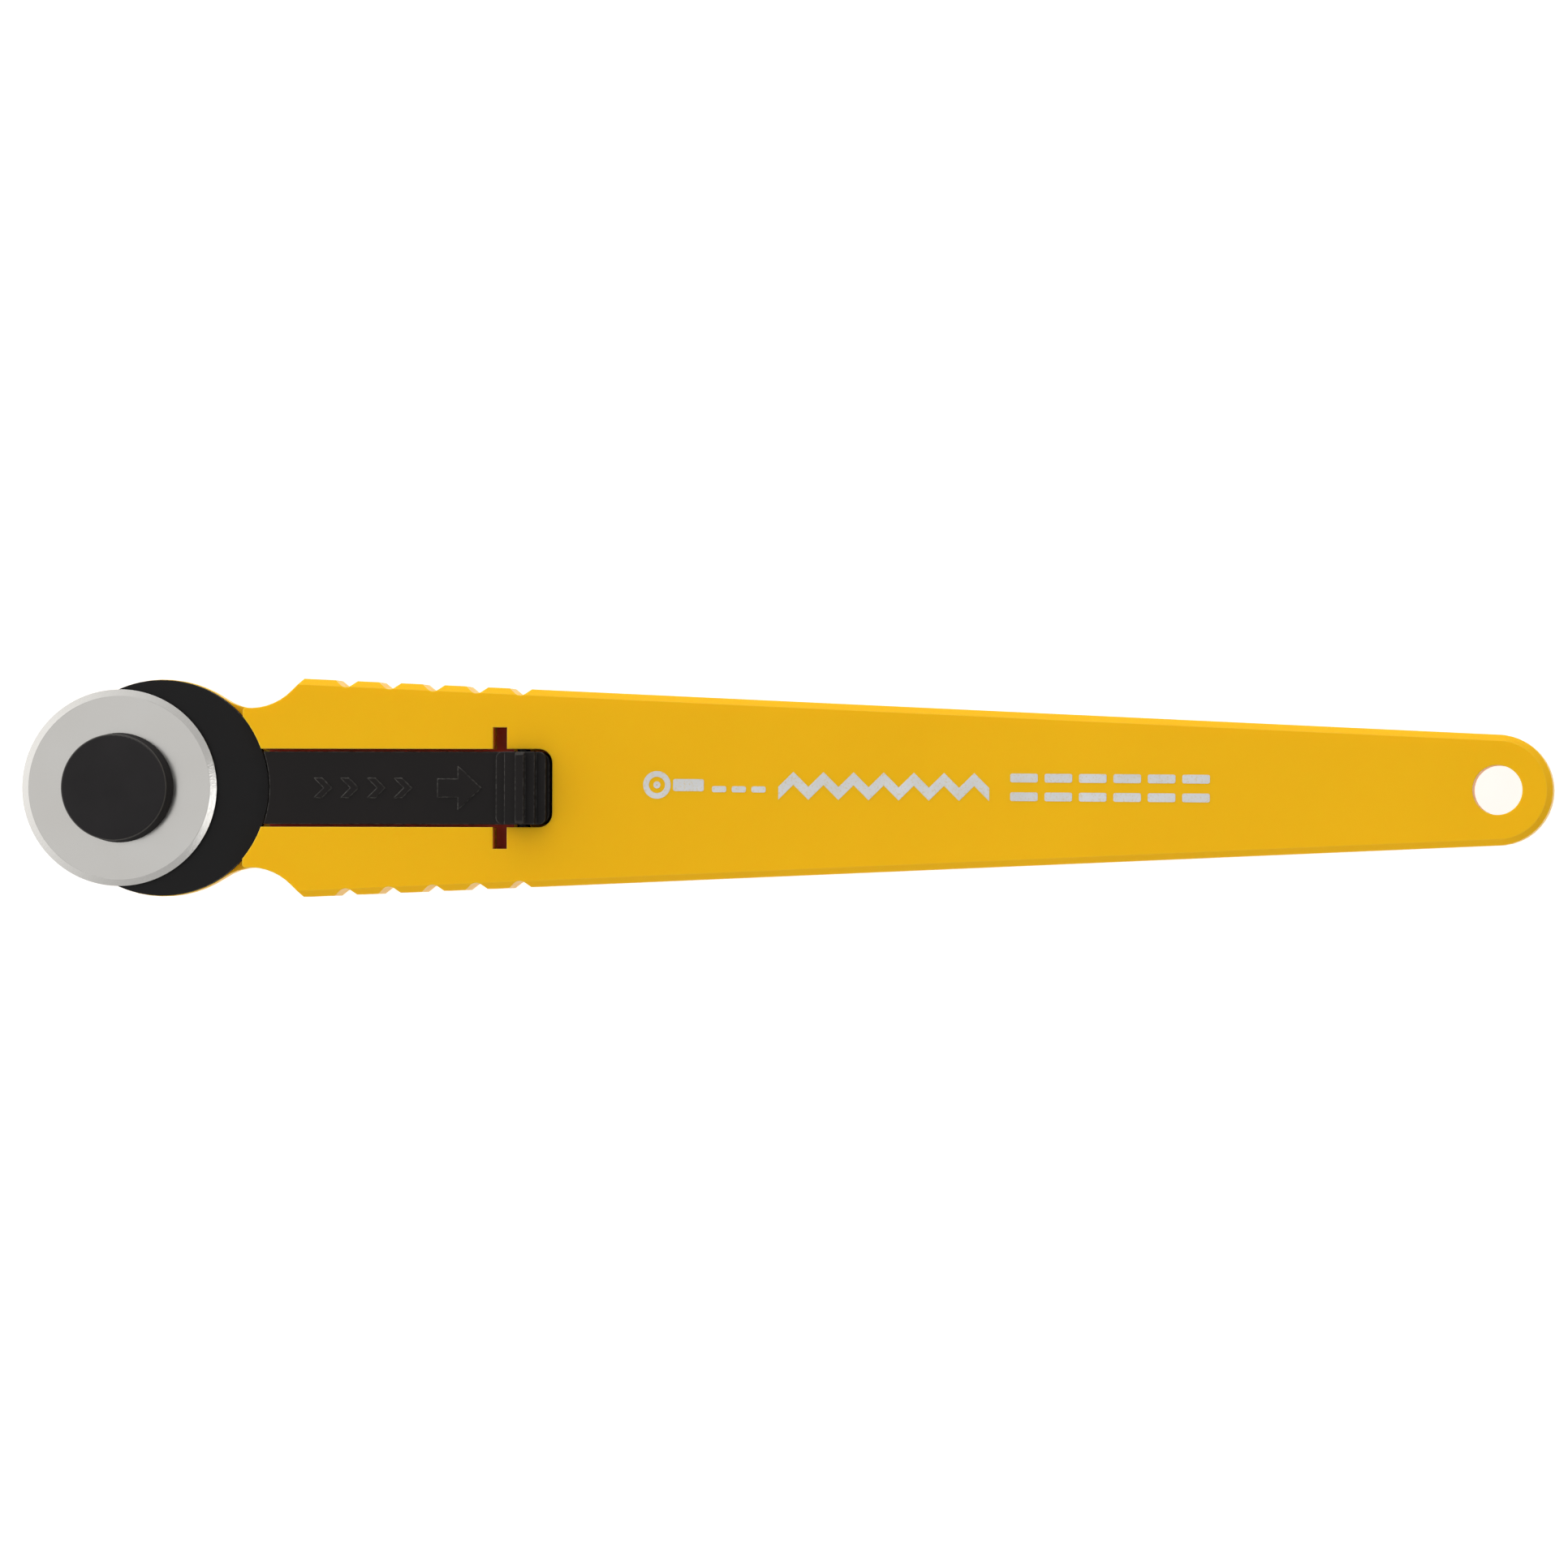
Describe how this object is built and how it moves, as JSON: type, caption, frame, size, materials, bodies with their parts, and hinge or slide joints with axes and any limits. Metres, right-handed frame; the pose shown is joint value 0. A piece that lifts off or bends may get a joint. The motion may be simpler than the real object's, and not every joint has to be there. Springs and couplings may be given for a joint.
{
  "type": "rotary cutter",
  "caption": "Slim one-hand rotary cutter: a small round blade on a flat handle, with a thumb slide that draws a round guard back from the blade, and a hang hole in the tail.",
  "frame": {"origin": "on the plane of the back face, under the middle of the cutter's length and width, with the guard drawn back", "axes": "+X along the handle from the blade to the hang hole, +Y across it, +Z from the back face up to the thumb pad"},
  "size_m": [0.14, 0.0198, 0.009],
  "materials": {
    "handle_plastic": "semi-gloss moulded yellow",
    "guard_plastic": "satin moulded black",
    "slide_plastic": "fine matt texture, black",
    "blade_steel": "fine ground",
    "screw_steel": "plated",
    "spring_steel": "bright rolled",
    "bush_brass": "turned brass",
    "silver_ink": "printed silver ink"
  },
  "bodies": {
    "handle": {"handle_front": "handle_plastic", "handle_back": "handle_plastic", "handle_screws": "screw_steel", "pivot_bush": "bush_brass", "hub_pin": "screw_steel", "blade_collar": "screw_steel", "spring_washer": "spring_steel", "hub_cap": "guard_plastic"},
    "guard": {"guard_disc": "guard_plastic", "slide_bar": "slide_plastic", "thumb_pad": "slide_plastic", "cross_pin": "screw_steel", "guard_screws": "screw_steel", "brake_spring": "spring_steel"},
    "blade": {"blade": "blade_steel"}
  },
  "joints": [
    {"name": "guard_slide", "type": "slide", "parent": "handle", "child": "guard", "axis": [-1, 0, 0], "range_m": [0, 0.00386]},
    {"name": "blade_spin", "type": "hinge", "parent": "handle", "child": "blade", "pos_m": [-0.061, 0, 0.0034], "axis": [0, 0, 1], "continuous": true}
  ]
}
